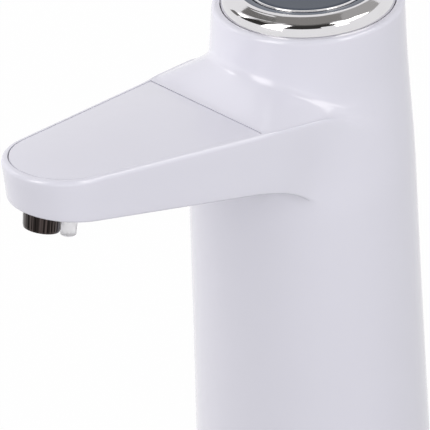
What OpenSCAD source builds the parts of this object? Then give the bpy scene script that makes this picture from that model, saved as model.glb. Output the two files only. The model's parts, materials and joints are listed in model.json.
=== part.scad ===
// Electric pump for a large water bottle. It stands on the bottle's neck, draws water up
// through a suction spigot and pours it from a wedge-shaped spout with a bright nozzle.
// Millimetres. The axis of the lower body is Z, the foot is at z = 0, the spout points to -Y.

/* [Body] */
// Height of the white body's top edge above the foot
body_h = 180; // [172:1:196]
// Radius of the body at the foot
base_r = 39.9; // [37:0.1:43]
// Distance from the axis to the upright back of the body at its top
back_r = 35.1; // [34:0.1:37]
// Power of the curve by which the body widens downward
flare = 1.4; // [1:0.05:2]
// Radius of the body's top edge
top_r = 29.65; // [29:0.05:31]
// Growth in radius of the upper body for each millimetre downward
up_taper = 0.064; // [0.03:0.001:0.08]
// Thickness of the body's wall
wall = 2.4; // [2:0.1:2.8]
// Air between two pieces that lie side by side
gap = 0.15; // [0.1:0.05:0.3]

/* [Spout] */
// Reach of the spout's tip from the axis of the body
reach = 110.6; // [104:0.1:118]
// Radius of the rounded tip, seen from above
tip_r = 18; // [17:0.1:19]
// Radius about the axis that the spout's straight sides are tangent to
root_r = 32.6; // [32:0.1:34]
// Drop from the body's top edge to the spout's top face, at the axis
rim_drop = 23.7; // [22.5:0.1:25]
// Rise of the spout's top face for each millimetre forward
rim_slope = 0.094; // [0.08:0.002:0.11]
// Drop from the body's top edge to the spout's underside, at the axis
under_drop = 48; // [47.5:0.1:50]
// Rise of the spout's underside for each millimetre forward
under_slope = 0.198; // [0.18:0.001:0.2]
// Inset of the underside's outline from the rim's outline
draft = 0.5; // [0.3:0.1:1.5]
// Width of the rim left around the top cover
lip = 1.6; // [1.4:0.1:1.8]
// Distance from the axis to the foot of the ramp behind the top cover
ramp_s = 36.7; // [35:0.1:39]
// Drop from the body's top edge to the ramp's upper edge, at the axis
crown_drop = 26.5; // [26:0.1:27]
// Rise of the ramp's upper edge for each millimetre forward
ramp_rise = 0.538; // [0.51:0.002:0.56]

/* [Outlet] */
// Distance from the axis to the nozzle
nozzle_s = 101.5; // [96:0.5:103]
// Radius of the nozzle's skirt where it meets the spout
nozzle_r = 5.8; // [5.4:0.1:6]
// Length of the nozzle below the spout
nozzle_len = 7; // [5:0.1:9]
// Set-back of the nozzle's feed behind its centre
feed = 1.4; // [1.2:0.1:1.6]
// Distance from the axis to the light pipe
pipe_s = 91.4; // [88:0.1:93]
// Radius of the light pipe at the spout
pipe_r = 2.9; // [2.4:0.1:3]
// Length of the light pipe below the spout
pipe_len = 11.2; // [8:0.1:13]
// Outer radius of the delivery hose
hose_r = 3.4; // [3.2:0.1:3.5]
// Inner radius of the delivery hose
hose_in = 2.3; // [2.1:0.1:2.5]
// Radius of the bend in the delivery hose
bend_r = 18; // [16:0.5:19]

/* [Top] */
// Outer radius of the bright bezel
ring_r = 27; // [26:0.1:27.4]
// Inner radius of the bright bezel
panel_r = 21; // [20.5:0.1:21.5]
// Inner radius of the dark panel
key_r = 18.9; // [18.5:0.1:19.4]
// Rise of the bezel's inner edge above the body's top edge
bezel_rise = 4.9; // [4:0.1:6]
// Travel of the push button
key_travel = 0.6; // [0.4:0.1:0.8]
// Depth of the panel seat below the body's top edge
seat_drop = 10; // [9:0.5:11]
// Radius of the control board
board_r = 23.5; // [22:0.5:24]

/* [Foot] */
// Radius of the bore that takes the bottle's neck
neck_r = 27.75; // [27.5:0.05:28.2]
// Length of that bore
neck_depth = 18; // [16:0.5:18.5]
// Relief of the neck bore above its guide, which ends below the suction spigot
relief = 0.45; // [0.4:0.05:0.6]
// Height of the foot collar
collar_h = 22; // [21:0.5:24]
// Thickness of the inner deck
deck_t = 2.5; // [2:0.1:3]
// Radius of the suction spigot inside the neck
spigot_r = 4; // [3.5:0.1:4.5]
// Length of the suction spigot
spigot_len = 10; // [8:0.5:11]
// Distance from the axis to the suction spigot, toward the back
suction_y = 7; // [6.5:0.1:7.2]

/* [Pump] */
// Radius of the pump
pump_r = 14.2; // [14:0.1:14.4]
// Height of the pump head
head_h = 10; // [9.6:0.1:11]
// Thickness of the valve plate
valve_h = 3; // [2.6:0.1:3.4]
// Thickness of the diaphragm's flange
web_t = 1.2; // [1:0.1:1.4]
// Height of the pump case below the motor
case_h = 16.8; // [16.8:0.1:18]
// Tilt of the drive pin from the shaft
tilt = 8; // [6:0.5:9]
// Radius of the circle of pump chambers
cell_r = 7; // [6.8:0.1:7.2]
// Radius of the circle of pump screws
bolt_r = 12.6; // [12.5:0.1:12.7]

/* [Motor] */
// Radius of the motor's can
can_r = 12; // [11.8:0.1:12.2]
// Length of the motor's can
can_h = 30; // [28:0.5:32]
// Radius of the motor's shaft
shaft_r = 1; // [0.9:0.05:1.1]
// Running clearance of the shaft and of the drive pin
run = 0.03; // [0.02:0.01:0.05]

/* [Battery and boards] */
// Radius of the battery cell
cell_rad = 9.2; // [9:0.1:9.3]
// Length of the battery cell
cell_len = 65; // [63:0.5:66]
// Distance from the axis to the battery cell
cell_x = 24.8; // [24.7:0.1:25]
// Distance from the axis to the charging board's front face
charge_y = 28; // [27.5:0.1:28.5]
// Height of the charging socket
socket_z = 46; // [42:1:50]

/* [Hidden] */
$fn = 64;
set_back = back_r - top_r;
tip_d = reach - tip_r;
open_r = ring_r + 0.2;
ledge_r = board_r + 1.4;
seat_z = body_h - seat_drop;
under_a = atan(under_slope);
deck_z = collar_h + deck_t;
guide_h = collar_h - 2 - spigot_len - 0.4;
head_z = deck_z + 8.5;
valve_z = head_z + head_h;
web_z = valve_z + valve_h;
case_z = web_z + web_t;
motor_z = case_z + case_h;
can_top = motor_z + can_h;
swing_z = web_z + 3.5;
boot_r = pump_r + 1;
barb_y = -(pump_r + hose_r + 1.6);
barb_z = valve_z - 2.6;
hose_h = wall + 1.5 + hose_r;
spread_a = asin((root_r - tip_r) / tip_d);
board_z = seat_z - 7;
bracket_z = deck_z + cell_len - 5.5;
panel_z = body_h + bezel_rise - 0.4;
socket_y = sqrt(pow(low_r(socket_z), 2) - 25) - 0.3;
post_x = 20;
post_y = 10;
screw_a = [30, 150, 270];
boss_r = 3.4;
head_r = 2.6;
screw_r = low_r(collar_h) - wall - boss_r + 0.05;
rim_a = [for (t = [0:10:70]) atan2(tip_r * sin(t), tip_d + tip_r * cos(t))];
side_s = [80, 66, 53, 43, ramp_s, 32, 28, 24, 20, 16, 12, 8, 4];
side_a = [for (s = side_s) atan2((root_r - s * sin(spread_a)) / cos(spread_a), s)];
back_a = [for (a = [90:6:174]) a];
half_a = concat([for (i = [1:len(rim_a) - 1]) rim_a[i]], [atan2(tip_r, tip_d)], side_a, back_a);
n_half = len(half_a);
all_a = concat([for (i = [n_half - 1:-1:0]) -half_a[i]], [0], half_a, [180]);

// Radius of the lower body at a height
function low_r(z) = back_r + (base_r - back_r) * pow(1 - z / body_h, flare);

// Radius and set-back of the upper body at a height
function up_r(z) = top_r + up_taper * (body_h - z);
function up_c(z) = low_r(z) - up_r(z);

// Distance from the axis to a set-back circle, along a direction measured from the spout
function circle_ray(a, c, r) = -c * cos(a) + sqrt(r * r - pow(c * sin(a), 2));
function up_ray(a, z) = circle_ray(a, up_c(z), up_r(z));
function ring_ray(a, r) = circle_ray(a, set_back, r);

// Distance from the axis to the outline of the spout: a root circle, straight sides, a round tip
function outline(a, rb, rt) =
    let (q = abs(a), b = asin((rb - rt) / tip_d), t = atan2(rt * cos(b), tip_d + rt * sin(b)))
    q < t ? tip_d * cos(q) + sqrt(rt * rt - pow(tip_d * sin(q), 2)) : q < 90 - b ? rb / sin(q + b) : rb;

function rim_z(s) = body_h - rim_drop + rim_slope * s;
function under_z(s) = body_h - under_drop + under_slope * s;
function ease(t) = let (u = max(0, min(1, t))) u * u * (3 - 2 * u);
function mix(p, q, t) = p * (1 - t) + q * t;

// Points of the spout's wall in one direction: junction, lower edge, rim, ramp foot, ramp top
function front_points(a) =
    let (c = cos(a), rl = low_r(under_z(back_r * c)),
         rr = outline(a, root_r, tip_r),
         rb = max(rl + 0.4, outline(a, root_r - draft, tip_r - draft)),
         rs = min(rr - 1.2, c > 0.05 ? ramp_s / c : rr),
         ru = up_ray(a, body_h - 16),
         rz = max(rim_z(rs * c) + 0.4, body_h - crown_drop + ramp_rise * ru * c))
    [[rl, under_z(rl * c)], [rb, under_z(rb * c)], [rr, rim_z(rr * c)],
     [rs, rim_z(rs * c)], [up_ray(a, rz), rz]];

// The inner skin behind those points
function front_inner(a) =
    let (c = cos(a), p = front_points(a), rj = p[0][0] - wall, rb = max(rj + 0.3, p[1][0] - wall),
         rr = p[2][0] - wall, rs = min(rr - 0.5, p[3][0] - wall / 2))
    [[rj, under_z(rj * c) + wall], [rb, under_z(rb * c) + wall], [rr, rim_z(rr * c) - wall],
     [rs, rim_z(rs * c) - wall], [p[4][0] - wall, min(p[4][1] - 0.8 * wall, seat_z - 5)]];

// The same points where the spout has died out into the back of the body
function back_points(a) =
    [for (z = [126, 132, 146, 152, 160])
        let (h = body_h - 180 + z) [mix(low_r(h), up_ray(a, h), ease((z - 122) / 44)), h]];
function back_inner(a) = [for (p = back_points(a)) p - [wall, 0]];

function fade(a) = ease((abs(a) - 58) / 46);
function blend(f, b, t) = [for (i = [0:4]) mix(f[i], b[i], t)];

function place(a, p) = [p[0] * sin(a), -p[0] * cos(a), p[1]];

// One closed loop of the body's wall in one direction, outer skin upward, inner skin downward
function wall_loop(a) =
    let (p = blend(front_points(a), back_points(a), fade(a)),
         q = blend(front_inner(a), back_inner(a), fade(a)),
         loop = concat(
            [[low_r(collar_h), collar_h], [low_r(76), 76]], p,
            [[up_ray(a, body_h - 1.2), body_h - 1.2], [up_ray(a, body_h) - 1, body_h],
             [ring_ray(a, open_r), body_h], [ring_ray(a, open_r), seat_z], [ring_ray(a, ledge_r), seat_z],
             [ring_ray(a, ledge_r), seat_z - 2.4], [up_ray(a, seat_z - 4.4) - wall, seat_z - 4.4]],
            [for (i = [4:-1:0]) q[i]],
            [[low_r(76) - wall, 76], [low_r(collar_h) - wall, collar_h]]))
    [for (v = loop) place(a, v)];

// Skin over a row of loops that closes round the axis
module skin(loops) {
    m = len(loops);
    n = len(loops[0]);
    sides = [for (j = [0:m - 1], i = [0:n - 1])
        let (k = (j + 1) % m, h = (i + 1) % n)
        each [[j * n + i, j * n + h, k * n + h], [j * n + i, k * n + h, k * n + i]]];
    polyhedron(points = [for (l = loops, q = l) q], faces = sides, convexity = 10);
}

module tube(r, bore, h) {
    difference() {
        cylinder(r = r, h = h);
        translate([0, 0, -1]) cylinder(r = bore, h = h + 2);
    }
}

module at_angles(list, r) {
    for (a = list) rotate([0, 0, a]) translate([r, 0, 0]) children();
}

// Frame on the spout's underside, with local Z square to it and local Y toward the body
module under_frame(s) {
    translate([0, -s, under_z(s)]) rotate([-under_a, 0, 0]) children();
}

module body_shell() {
    color([0.93, 0.93, 0.95]) resize([0, 0, 0]) difference() {
        union() {
            skin([for (a = all_a) wall_loop(a)]);
            at_angles(screw_a, screw_r) translate([0, 0, deck_z]) cylinder(r = boss_r, h = 14, $fn = 24);
        }
        cover_frame() translate([0, 0, -wall - 0.1]) linear_extrude(wall + 6) cover_outline(lip, 18);
        under_frame(nozzle_s) translate([0, feed, -3]) cylinder(r = 3.1, h = 9, $fn = 32);
        under_frame(pipe_s) translate([0, 0, -3]) cylinder(r = pipe_r + 0.15, h = 9, $fn = 32);
        at_angles(screw_a, screw_r) translate([0, 0, deck_z - 1]) cylinder(r = 1.4, h = 12, $fn = 24);
        translate([0, 30, socket_z]) rotate([-90, 0, 0]) slot(9.6, 3.9, 14);
    }
}

module slot(w, t, h) {
    for (x = [-1, 1]) translate([x * (w - t) / 2, 0, 0]) cylinder(d = t, h = h, $fn = 32);
    translate([-(w - t) / 2, -t / 2, 0]) cube([w - t, t, h]);
}

// Frame on the spout's top face, with local Z square to it and local -Y toward the tip
module cover_frame() {
    translate([0, 0, rim_z(0)]) rotate([-atan(rim_slope), 0, 0]) children();
}

// Outline of the top cover, drawn in from the rim
module cover_outline(inset, n) {
    r = tip_r - inset;
    x0 = (root_r - inset - (ramp_s + inset) * sin(spread_a)) / cos(spread_a);
    turns = [for (i = [0:n]) spread_a + i * (180 - 2 * spread_a) / n];
    arc = [for (t = turns) [r * cos(t), -tip_d - r * sin(t)]];
    polygon(concat([[-x0, -ramp_s - inset], [x0, -ramp_s - inset]], arc));
}

module spout_cover() {
    color([0.94, 0.94, 0.96]) cover_frame() translate([0, 0, -wall])
        linear_extrude(wall) cover_outline(lip + gap, 30);
}

module base_collar() {
    color([0.92, 0.92, 0.94]) difference() {
        cylinder(r1 = low_r(0), r2 = low_r(collar_h), h = collar_h);
        translate([0, 0, -1]) cylinder(r = neck_r, h = neck_depth + 1);
        translate([0, 0, guide_h]) cylinder(r = neck_r + relief, h = neck_depth - guide_h);
        cylinder(r = neck_r - 7, h = collar_h + 1);
        translate([0, 0, -1]) difference() {
            cylinder(r = low_r(collar_h) - wall, h = neck_depth + 1);
            cylinder(r = neck_r + 2.2, h = neck_depth + 2);
        }
        at_angles(screw_a, screw_r) {
            translate([0, 0, -1]) cylinder(r = head_r + 0.4, h = neck_depth + 1);
            cylinder(r = 1.6, h = collar_h + 1);
        }
    }
}

module collar_screws() {
    color([0.6, 0.6, 0.62]) at_angles(screw_a, screw_r) {
        translate([0, 0, neck_depth - 1.8]) cylinder(r = head_r, h = 1.8);
        translate([0, 0, neck_depth - 1]) cylinder(r = 1.25, h = collar_h - neck_depth + deck_t + 9);
    }
}

module neck_seal() {
    color([0.82, 0.83, 0.85]) translate([0, 0, neck_depth - 2]) tube(neck_r + relief - gap, neck_r - 6.5, 2);
}

module hose_tail() {
    color([0.9, 0.9, 0.92]) translate([0, suction_y, collar_h]) difference() {
        union() {
            translate([0, 0, -2]) cylinder(r = 8, h = 2);
            translate([0, 0, -spigot_len - 2]) cylinder(r = spigot_r, h = spigot_len);
            cylinder(r = 3, h = deck_t);
            translate([0, 0, deck_t]) cylinder(r = hose_in - 0.05, h = 4.9);
        }
        translate([0, 0, -spigot_len - 3]) cylinder(r = 1.4, h = spigot_len + deck_t + 12);
    }
}

module hose_nut() {
    color([0.85, 0.85, 0.88]) translate([0, suction_y, deck_z]) difference() {
        cylinder(r = 5.4, h = 1.6, $fn = 6);
        translate([0, 0, -1]) cylinder(r = hose_in, h = 4);
    }
}

module chassis() {
    color([0.75, 0.77, 0.8]) difference() {
        union() {
            translate([0, 0, collar_h]) cylinder(r = low_r(collar_h) - wall - 0.3, h = deck_t);
            translate([0, 0, deck_z]) cylinder(r = boot_r + 1.6, h = 5);
            translate([-cell_x, 0, deck_z]) cylinder(r = cell_rad + 1.3, h = 10);
            for (y = [-post_y, post_y])
                translate([post_x, y, deck_z]) cylinder(r = 3, h = bracket_z - deck_z);
            for (x = [-1, 1]) translate([x * 10.4 - 1.6, charge_y - 1.4, deck_z]) cube([3.2, 4.4, 26]);
        }
        translate([0, 0, deck_z]) cylinder(r = boot_r + gap, h = 40);
        translate([-cell_x, 0, deck_z]) cylinder(r = cell_rad + gap, h = 80);
        translate([0, suction_y, collar_h - 1]) cylinder(r = 3.05, h = deck_t + 2);
        at_angles(screw_a, screw_r) translate([0, 0, collar_h - 1]) cylinder(r = 1.6, h = deck_t + 2);
        translate([-9.6, charge_y - gap, deck_z + 3]) cube([19.2, 1.6 + 2 * gap, 40]);
        for (y = [-post_y, post_y]) translate([post_x, y, bracket_z - 9]) cylinder(r = 1.3, h = 10);
    }
}

module upper_bracket() {
    color([0.75, 0.77, 0.8]) translate([0, 0, bracket_z]) difference() {
        union() {
            cylinder(r = can_r + 2, h = 3);
            translate([-cell_x, 0, 0]) cylinder(r = cell_rad + 1.5, h = 3);
            translate([-cell_x, -6, 0]) cube([cell_x, 12, 3]);
            for (y = [-post_y, post_y]) translate([post_x, y, 0]) cylinder(r = 4, h = 3);
            translate([post_x - 4, -post_y, 0]) cube([8, 2 * post_y, 3]);
            translate([0, -6, 0]) cube([post_x, 12, 3]);
        }
        translate([0, 0, -1]) tube(base_r, low_r(bracket_z + 3) - wall - 0.4, 5);
        translate([0, 0, -1]) cylinder(r = can_r + gap, h = 5);
        translate([-cell_x, 0, -1]) cylinder(r = cell_rad + gap, h = 5);
        for (y = [-post_y, post_y]) translate([post_x, y, -1]) cylinder(r = 1.4, h = 5);
    }
}

module bracket_screws() {
    color([0.6, 0.6, 0.62]) for (y = [-post_y, post_y]) translate([post_x, y, bracket_z]) {
        translate([0, 0, 3]) cylinder(r = 2.4, h = 1.6);
        translate([0, 0, -8]) cylinder(r = 1.2, h = 11.5);
    }
}

module pump_boot() {
    color([0.3, 0.32, 0.35]) translate([0, 0, deck_z]) difference() {
        cylinder(r = boot_r, h = head_z - deck_z + 4);
        translate([0, 0, head_z - deck_z]) cylinder(r = pump_r + 0.05, h = 10);
        pump_bolts(1.5, head_z - deck_z - 1.4, 2);
        translate([0, 0, -1]) cylinder(r = pump_r - 1.4, h = 20);
    }
}

module pump_bolts(r, z, h) {
    at_angles([45, 135, 225, 315], bolt_r) translate([0, 0, z]) cylinder(r = r, h = h);
}

module pump_head() {
    color([0.88, 0.88, 0.9]) difference() {
        union() {
            translate([0, 0, head_z]) cylinder(r = pump_r, h = head_h);
            translate([0, suction_y, head_z - 3.4]) cylinder(r = hose_in - 0.05, h = 4);
            translate([0, 0, barb_z]) rotate([90, 0, 0]) cylinder(r = 2.6, h = -barb_y);
            translate([0, barb_y, barb_z - 2.6]) cylinder(r = 2.6, h = 5.2);
            translate([0, barb_y, barb_z]) cylinder(r = hose_in - 0.05, h = 11);
        }
        translate([0, 0, valve_z - 4]) cylinder(r = 4.2, h = 5);
        translate([0, 0, valve_z - 4]) difference() {
            cylinder(r = 10.6, h = 5);
            translate([0, 0, -1]) cylinder(r = 5.6, h = 7);
            translate([-3.6, -12, -1]) cube([7.2, 12, 7]);
        }
        translate([0, suction_y, head_z - 4]) cylinder(r = 1.4, h = head_h);
        translate([0, 0, barb_z]) rotate([90, 0, 0]) cylinder(r = 1.4, h = -barb_y);
        translate([0, barb_y, barb_z]) cylinder(r = 1.4, h = 12);
        pump_bolts(0.85, head_z - 1, head_h + 2);
    }
}

module outlet_valve() {
    color([0.8, 0.35, 0.25]) translate([0, 0, valve_z]) {
        translate([0, 0, -0.6]) cylinder(r = 3.4, h = 0.6);
        translate([0, 0, -0.3]) cylinder(r = 0.7, h = 2.6);
    }
}

module valve_plate() {
    color([0.55, 0.57, 0.6]) difference() {
        translate([0, 0, valve_z]) cylinder(r = pump_r, h = valve_h);
        translate([0, 0, valve_z - 1]) cylinder(r = 0.75, h = valve_h + 2);
        at_angles([0, 120, 240], 2.2) translate([0, 0, valve_z - 1]) cylinder(r = 0.7, h = valve_h + 2);
        at_angles([0, 120, 240], cell_r) translate([0, 0, valve_z - 1]) cylinder(r = 0.75, h = valve_h + 2);
        at_angles([0, 120, 240], cell_r + 1.7)
            translate([0, 0, valve_z - 1]) cylinder(r = 0.6, h = valve_h + 2);
        pump_bolts(0.85, valve_z - 1, valve_h + 2);
    }
}

module inlet_valves() {
    color([0.8, 0.35, 0.25]) at_angles([0, 120, 240], cell_r) translate([0, 0, web_z]) {
        cylinder(r = 2.6, h = 0.6);
        translate([0, 0, -2.4]) cylinder(r = 0.7, h = 2.6);
    }
}

// Height of the swing frame's underside above the valve plate, at an arm
function arm_z(a) = swing_z + (2.4 - cell_r * cos(a) * sin(tilt)) / cos(tilt);

module diaphragm() {
    color([0.2, 0.2, 0.22]) difference() {
        union() {
            translate([0, 0, web_z]) cylinder(r = pump_r, h = web_t);
            for (a = [0, 120, 240]) rotate([0, 0, a]) translate([cell_r, 0, web_z]) {
                cylinder(r = 4, h = 3.2);
                cylinder(r = 1.5, h = arm_z(a) - web_z - 0.5);
            }
        }
        at_angles([0, 120, 240], cell_r) translate([0, 0, web_z - 1]) cylinder(r = 3.3, h = 3.4);
        pump_bolts(0.85, web_z - 1, web_t + 2);
    }
}

module pump_case() {
    color([0.55, 0.57, 0.6]) difference() {
        translate([0, 0, case_z]) cylinder(r = pump_r, h = case_h + 6);
        translate([0, 0, case_z - 1]) cylinder(r = 11.2, h = case_h - 1.5);
        translate([0, 0, motor_z]) cylinder(r = can_r + 0.05, h = 7);
        translate([0, 0, case_z]) cylinder(r = 3.1, h = case_h + 1);
        pump_bolts(0.85, case_z - 1, 9);
    }
}

module pump_screws() {
    color([0.62, 0.62, 0.64]) {
        pump_bolts(0.8, head_z - 0.5, case_z - head_z + 8);
        pump_bolts(1.3, head_z - 1.2, 1.2);
    }
}

// Frame of the drive pin, tilted about the point where it crosses the shaft's line
module pin_frame() {
    translate([0, 0, swing_z]) rotate([0, tilt, 0]) children();
}

module swing_frame() {
    color([0.85, 0.83, 0.75]) pin_frame() difference() {
        union() {
            translate([0, 0, 0.6]) cylinder(r = 2.3, h = 3.4);
            for (a = [0, 120, 240]) rotate([0, 0, a]) {
                translate([0, -1.4, 2.4]) cube([cell_r, 2.8, 1.3]);
                translate([cell_r, 0, 2.4]) cylinder(r = 2, h = 1.3);
            }
        }
        cylinder(r = 0.9 + run, h = 6);
    }
}

module drive_pin() {
    color([0.7, 0.7, 0.72]) pin_frame() translate([0, 0, 0.8]) cylinder(r = 0.9, h = 7);
}

module eccentric_wheel() {
    color([0.9, 0.88, 0.8]) difference() {
        translate([0, 0, swing_z + 5.2]) cylinder(r = 6, h = 6);
        pin_frame() cylinder(r = 0.92, h = 7.9);
        translate([0, 0, swing_z + 8.6]) cylinder(r = shaft_r + 0.02, h = 4);
    }
}

module motor_shaft() {
    color([0.75, 0.75, 0.78]) translate([0, 0, swing_z + 8.7])
        cylinder(r = shaft_r, h = can_top + 4 - swing_z - 8.7);
}

module motor_can() {
    color([0.72, 0.73, 0.75]) translate([0, 0, motor_z]) difference() {
        cylinder(r = can_r, h = can_h);
        translate([0, 0, 1]) cylinder(r = can_r - 0.8, h = can_h);
        translate([0, 0, -1]) cylinder(r = 3.02, h = 4);
    }
}

module front_bush() {
    color([0.7, 0.55, 0.3]) translate([0, 0, motor_z - 1.4]) tube(3, shaft_r + run, 3.4);
}

module motor_magnets() {
    color([0.25, 0.25, 0.27]) translate([0, 0, motor_z + 6]) for (a = [25, 205]) rotate([0, 0, a])
        rotate_extrude(angle = 130) translate([can_r - 3.1, 0]) square([2.25, 18]);
}

module armature_core() {
    color([0.45, 0.45, 0.48]) translate([0, 0, motor_z + 7]) difference() {
        cylinder(r = can_r - 3.6, h = 16);
        translate([0, 0, -1]) cylinder(r = shaft_r + 0.01, h = 18);
        at_angles([60, 180, 300], 5.2) translate([0, 0, -1]) cylinder(r = 1.9, h = 18);
        for (a = [60, 180, 300]) rotate([0, 0, a]) translate([5, -0.6, -1]) cube([6, 1.2, 18]);
    }
}

module armature_windings() {
    color([0.7, 0.35, 0.15]) translate([0, 0, motor_z + 4.3]) {
        tube(7, 2.4, 2.7);
        translate([0, 0, 18.7]) tube(7, 2.4, 2.6);
        at_angles([60, 180, 300], 5.2) translate([0, 0, 2]) cylinder(r = 1.85, h = 17);
    }
}

module commutator() {
    color([0.75, 0.5, 0.3]) translate([0, 0, can_top - 4.4]) tube(2.6, shaft_r + 0.01, 3.4);
}

module motor_brushes() {
    color([0.3, 0.3, 0.32]) for (x = [-1, 1]) {
        translate([x * 4.9 - 2, -0.9, can_top - 3.6]) cube([4, 1.8, 1.6]);
        translate([x * 7.15 - 0.25, -1.2, can_top - 3.8]) cube([0.5, 2.4, 12]);
    }
}

module motor_end_cap() {
    color([0.2, 0.2, 0.22]) difference() {
        union() {
            translate([0, 0, can_top]) cylinder(r = can_r - 0.1, h = 3);
            translate([0, 0, can_top + 2]) cylinder(r = 4, h = 3.6);
            translate([0, 0, can_top - 1.2]) cylinder(r = can_r - 0.85, h = 2);
        }
        translate([0, 0, can_top - 2]) cylinder(r = 2.65, h = 6.6);
        for (x = [-1, 1]) translate([x * 7.15 - 0.3, -1.25, can_top - 2]) cube([0.6, 2.5, 8]);
    }
}

module rear_bush() {
    color([0.7, 0.55, 0.3]) translate([0, 0, can_top]) tube(2.6, shaft_r + run, 3);
}

module motor_leads() {
    color([0.75, 0.15, 0.12]) for (x = [-1, 1]) translate([x * 7.15, 0, can_top + 8.2])
        cylinder(r = 0.7, h = board_z - can_top - 8.2);
}

module inlet_hose() {
    color([0.85, 0.87, 0.9]) translate([0, suction_y, deck_z + 1.7])
        tube(hose_r, hose_in, head_z - deck_z - 1.8);
}

// Height where the upright part of the delivery hose ends and its bend starts
bend_a = 90 - under_a;
bend_y = barb_y - bend_r;
bend_z = under_z(-bend_y - bend_r * cos(bend_a)) + hose_h / cos(under_a) - bend_r * sin(bend_a);
run_y = bend_y + bend_r * cos(bend_a);
run_len = (nozzle_s - feed + run_y) / cos(under_a) - hose_h * tan(under_a) - 4.4;

module outlet_hose() {
    color([0.85, 0.87, 0.9]) {
        translate([0, barb_y, barb_z + 2.8]) tube(hose_r - 0.05, hose_in + 0.05, bend_z - barb_z - 2.5);
        translate([0, bend_y, bend_z]) rotate([90, 0, 90]) rotate_extrude(angle = bend_a)
            translate([bend_r, 0]) difference() {
                circle(r = hose_r);
                circle(r = hose_in);
            }
        translate([0, run_y, bend_z + bend_r * sin(bend_a)]) rotate([90 - under_a, 0, 0])
            translate([0, 0, -0.3]) tube(hose_r - 0.05, hose_in + 0.05, run_len + 0.3);
    }
}

module outlet_elbow() {
    color([0.9, 0.9, 0.92]) under_frame(nozzle_s - feed) difference() {
        union() {
            translate([0, 0, wall + 0.2]) cylinder(r = 4, h = hose_h + hose_in - wall + 0.6);
            translate([0, 0, hose_h]) rotate([-90, 0, 0]) cylinder(r = hose_in - 0.05, h = 11);
        }
        translate([0, 0, wall]) cylinder(r = 2.95, h = 3.2);
        translate([0, 0, wall]) cylinder(r = 2, h = hose_h - wall + 1);
        translate([0, 0, hose_h]) rotate([-90, 0, 0]) cylinder(r = 1.4, h = 12);
    }
}

module outlet_nozzle() {
    color([0.55, 0.53, 0.52]) under_frame(nozzle_s) difference() {
        union() {
            translate([0, 0, -nozzle_len]) cylinder(r1 = nozzle_r - 0.3, r2 = nozzle_r, h = nozzle_len - gap);
            translate([0, feed, -1]) cylinder(r = 2.9, h = wall + 4);
        }
        translate([0, feed, -nozzle_len - 1]) cylinder(r = 2, h = 20);
        translate([0, 0, -nozzle_len - 1]) cylinder(r = 4.6, h = 4);
    }
}

module light_pipe() {
    color([0.88, 0.9, 0.93, 0.6]) under_frame(pipe_s) {
        translate([0, 0, -pipe_len]) cylinder(r1 = pipe_r - 0.4, r2 = pipe_r, h = pipe_len);
        cylinder(r = pipe_r, h = wall + 0.3);
        translate([0, 0, wall + 0.2]) cylinder(r = pipe_r + 0.8, h = 0.4);
    }
}

module light_board() {
    color([0.1, 0.35, 0.2]) under_frame(pipe_s) translate([-4, -3.8, wall + 0.6]) cube([8, 7.6, 0.6]);
}

module battery_cell() {
    color([0.2, 0.4, 0.65]) translate([-cell_x, 0, deck_z]) {
        cylinder(r = cell_rad, h = cell_len - 1);
        cylinder(r = 4, h = cell_len);
    }
}

module battery_tabs() {
    color([0.8, 0.8, 0.8]) translate([-cell_x - 3, -3, deck_z + cell_len]) cube([11, 6, 0.3]);
}

module battery_leads() {
    color([0.1, 0.1, 0.1]) for (y = [-0.5, 2]) translate([-cell_x + 7, y, deck_z + cell_len + 0.3])
        cylinder(r = 0.7, h = board_z - deck_z - cell_len - 0.3);
}

module charge_board() {
    color([0.1, 0.35, 0.2]) translate([-9.3, charge_y, deck_z + 3.2]) cube([18.6, 1.6, 32]);
}

module usb_socket() {
    color([0.75, 0.76, 0.78]) translate([0, charge_y + 1.6, socket_z]) rotate([-90, 0, 0]) difference() {
        slot(8.9, 3.2, socket_y - charge_y - 1.6);
        translate([0, 0, 2]) slot(8.3, 2.6, 20);
    }
    color([0.15, 0.15, 0.16]) translate([-3.3, charge_y + 3, socket_z - 0.35])
        cube([6.6, socket_y - charge_y - 4.2, 0.7]);
}

module charge_leads() {
    color([0.75, 0.15, 0.12]) for (x = [-3, 3]) translate([x, charge_y - 0.7, deck_z + 27])
        cylinder(r = 0.7, h = board_z - deck_z - 27);
}

module at_ring(z) {
    translate([0, set_back, z]) children();
}

module control_board() {
    color([0.1, 0.35, 0.2]) at_ring(board_z) difference() {
        cylinder(r = board_r, h = 1.6);
        at_angles([90, 210, 330], 19) translate([0, 0, -1]) cylinder(r = 1.3, h = 4);
    }
}

module board_screws() {
    color([0.6, 0.6, 0.62]) at_ring(board_z) at_angles([90, 210, 330], 19) {
        translate([0, 0, -1.4]) cylinder(r = 2.2, h = 1.4);
        translate([0, 0, -1]) cylinder(r = 1.1, h = 6.5);
    }
}

module tact_switch() {
    color([0.2, 0.2, 0.22]) at_ring(board_z + 1.6) difference() {
        translate([-3, -3, 0]) cube([6, 6, 3.4]);
        translate([0, 0, 1]) cylinder(r = 1.8, h = 4);
    }
}

module switch_plunger() {
    color([0.85, 0.85, 0.85]) at_ring(board_z + 1.6 + 1 + key_travel + 0.3) cylinder(r = 1.72, h = 2.4);
}

module panel_carrier() {
    color([0.3, 0.31, 0.34]) at_ring(seat_z) difference() {
        union() {
            cylinder(r = open_r - 0.1, h = 2.6);
            cylinder(r = panel_r - 0.1, h = panel_z - seat_z - 3);
            translate([0, 0, -5.4]) at_angles([90, 210, 330], 19) cylinder(r = 2.8, h = 6);
        }
        translate([0, 0, 2]) cylinder(r = key_r + 0.1, h = 30);
        translate([0, 0, -1]) cylinder(r = 3.1, h = 8);
        at_angles([90, 210, 330], 19) translate([0, 0, -6]) cylinder(r = 1.15, h = 7);
    }
}

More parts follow.
